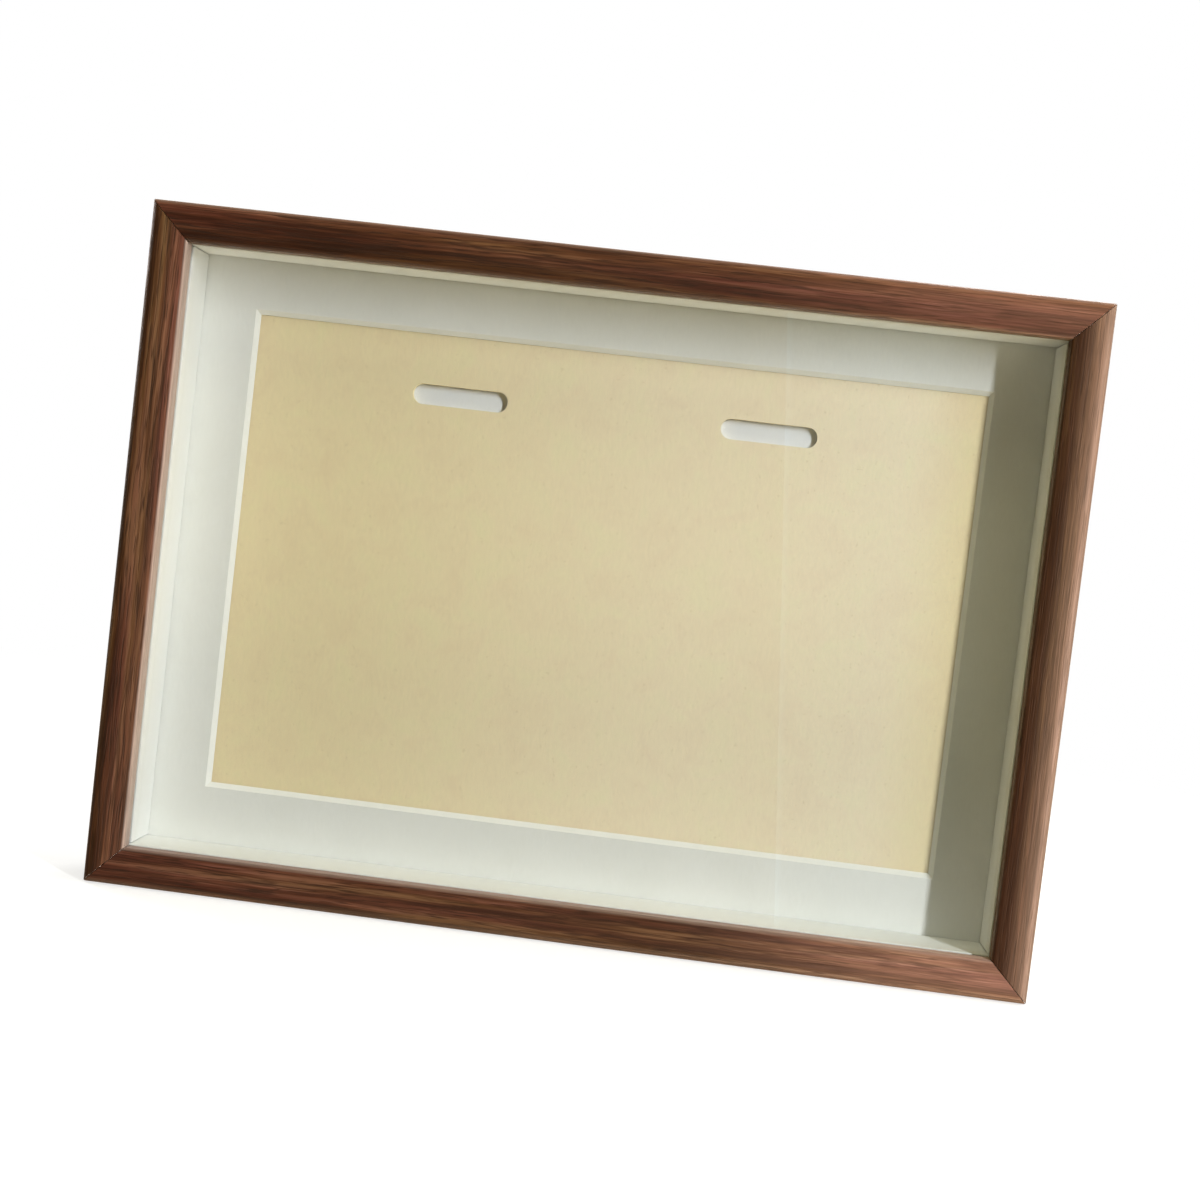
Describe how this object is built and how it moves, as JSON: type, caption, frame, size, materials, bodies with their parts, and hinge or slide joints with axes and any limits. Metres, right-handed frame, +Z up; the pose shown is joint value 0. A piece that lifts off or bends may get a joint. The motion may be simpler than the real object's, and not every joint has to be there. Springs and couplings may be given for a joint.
{
  "type": "medal shadow box",
  "caption": "Landscape wooden shadow box: glass front, white inner walls and bevelled window mat, cream card with ribbon slots, and a lift-out back held by turn buttons.",
  "frame": {"origin": "middle of the bottom rail's flat underside, half way through the moulding's depth", "axes": "+X to the viewer's right along the long side, -Y out of the glass towards the viewer, +Z up"},
  "size_m": [0.316, 0.0397, 0.229],
  "materials": {
    "walnut_wood": "open-grain walnut stain under a thin satin varnish",
    "clear_glass": "clear float glass, 2 mm",
    "white_spacer": "white paper-faced board",
    "white_mat": "matt white mat board with a white core",
    "cream_card": "matt cream card",
    "white_lining": "matt white paper",
    "brown_hardboard": "pressed fibre board",
    "zinc_plate": "zinc-plated stamped steel",
    "screw_steel": "zinc-plated steel",
    "nail_steel": "bright steel"
  },
  "bodies": {
    "frame": {"rail_top": "walnut_wood", "rail_bottom": "walnut_wood", "rail_left": "walnut_wood", "rail_right": "walnut_wood", "v_nail_top_left": "nail_steel", "v_nail_top_right": "nail_steel", "v_nail_bottom_left": "nail_steel", "v_nail_bottom_right": "nail_steel", "glass_pane": "clear_glass", "spacer_top": "white_spacer", "spacer_bottom": "white_spacer", "spacer_left": "white_spacer", "spacer_right": "white_spacer", "button_screw_top_left": "screw_steel", "button_screw_top_right": "screw_steel", "button_screw_bottom_left": "screw_steel", "button_screw_bottom_right": "screw_steel", "button_screw_left": "screw_steel", "button_screw_right": "screw_steel", "sawtooth_hanger": "zinc_plate", "hanger_nail_left": "nail_steel", "hanger_nail_right": "nail_steel"},
    "insert": {"window_mat": "white_mat", "medal_card": "cream_card"},
    "back": {"backing_sheet": "white_lining", "back_panel": "brown_hardboard"},
    "button_top_left": {"turn_button_top_left": "zinc_plate"},
    "button_top_right": {"turn_button_top_right": "zinc_plate"},
    "button_bottom_left": {"turn_button_bottom_left": "zinc_plate"},
    "button_bottom_right": {"turn_button_bottom_right": "zinc_plate"},
    "button_left": {"turn_button_left": "zinc_plate"},
    "button_right": {"turn_button_right": "zinc_plate"}
  },
  "joints": [
    {"name": "insert_draw", "type": "slide", "parent": "frame", "child": "insert", "axis": [0, 1, 0], "range_m": [0, 0.06]},
    {"name": "back_lift", "type": "slide", "parent": "insert", "child": "back", "axis": [0, 1, 0], "range_m": [0, 0.06]},
    {"name": "button_top_left_turn", "type": "hinge", "parent": "frame", "child": "button_top_left", "pos_m": [-0.083, 0.0189, 0.2245], "axis": [0, 1, 0], "range_deg": [0, 90]},
    {"name": "button_top_right_turn", "type": "hinge", "parent": "frame", "child": "button_top_right", "pos_m": [0.083, 0.0189, 0.2245], "axis": [0, -1, 0], "range_deg": [0, 90]},
    {"name": "button_bottom_left_turn", "type": "hinge", "parent": "frame", "child": "button_bottom_left", "pos_m": [-0.083, 0.0189, 0.0045], "axis": [0, -1, 0], "range_deg": [0, 90]},
    {"name": "button_bottom_right_turn", "type": "hinge", "parent": "frame", "child": "button_bottom_right", "pos_m": [0.083, 0.0189, 0.0045], "axis": [0, 1, 0], "range_deg": [0, 90]},
    {"name": "button_left_turn", "type": "hinge", "parent": "frame", "child": "button_left", "pos_m": [-0.1535, 0.0189, 0.1145], "axis": [0, -1, 0], "range_deg": [0, 90]},
    {"name": "button_right_turn", "type": "hinge", "parent": "frame", "child": "button_right", "pos_m": [0.1535, 0.0189, 0.1145], "axis": [0, 1, 0], "range_deg": [0, 90]}
  ]
}
